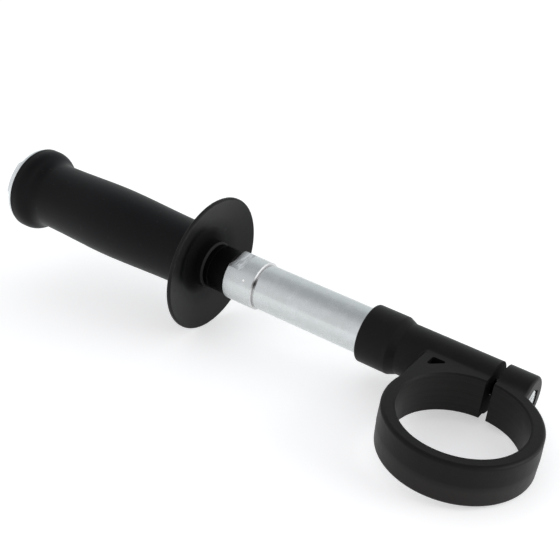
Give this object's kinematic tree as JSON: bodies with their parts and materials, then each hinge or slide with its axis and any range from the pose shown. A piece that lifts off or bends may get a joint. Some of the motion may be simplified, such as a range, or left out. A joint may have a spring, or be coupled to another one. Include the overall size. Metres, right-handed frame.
{
  "type": "power tool side handle",
  "caption": "Clamp-on side handle for a large drill: split collar, steel extension bar and a black grip with a dished hand guard and flared end.",
  "frame": {"origin": "centre of the split collar's bore, half way along it", "axes": "+Z along the collar's bore; the handle lies along -X beside the bore, its own axis 43.3 mm away in +Y; +X is the side where the bolt's head faces"},
  "size_m": [0.3497, 0.118, 0.0758],
  "materials": {
    "black_casting": "satin black coat over a cast surface",
    "zinc_bolt": "zinc plated",
    "zinc_bar": "turned and zinc plated, satin",
    "black_bush": "matt black",
    "black_washer": "matt black",
    "black_grip": "matt moulded plastic with a fine grain",
    "zinc_washer": "zinc plated",
    "zinc_nut": "zinc plated"
  },
  "bodies": {
    "clamp": {"clamp_body": "black_casting"},
    "handle": {"extension_bar": "zinc_bar", "spacer_bush": "black_bush", "hub_washer": "black_washer", "grip": "black_grip", "end_washer": "zinc_washer", "end_nut": "zinc_nut"},
    "bolt": {"clamp_bolt": "zinc_bolt"}
  },
  "joints": [
    {"name": "handle_turn", "type": "hinge", "parent": "clamp", "child": "handle", "pos_m": [0, 0.0433, 0], "axis": [1, 0, 0], "range_deg": [-1080, 0]},
    {"name": "bolt_slide", "type": "slide", "parent": "clamp", "child": "bolt", "axis": [1, 0, 0], "range_m": [0, 0.00375]}
  ],
  "couplings": [
    {"joint": "bolt_slide", "follows": "handle_turn", "m_per_rad": -0.00019894}
  ]
}
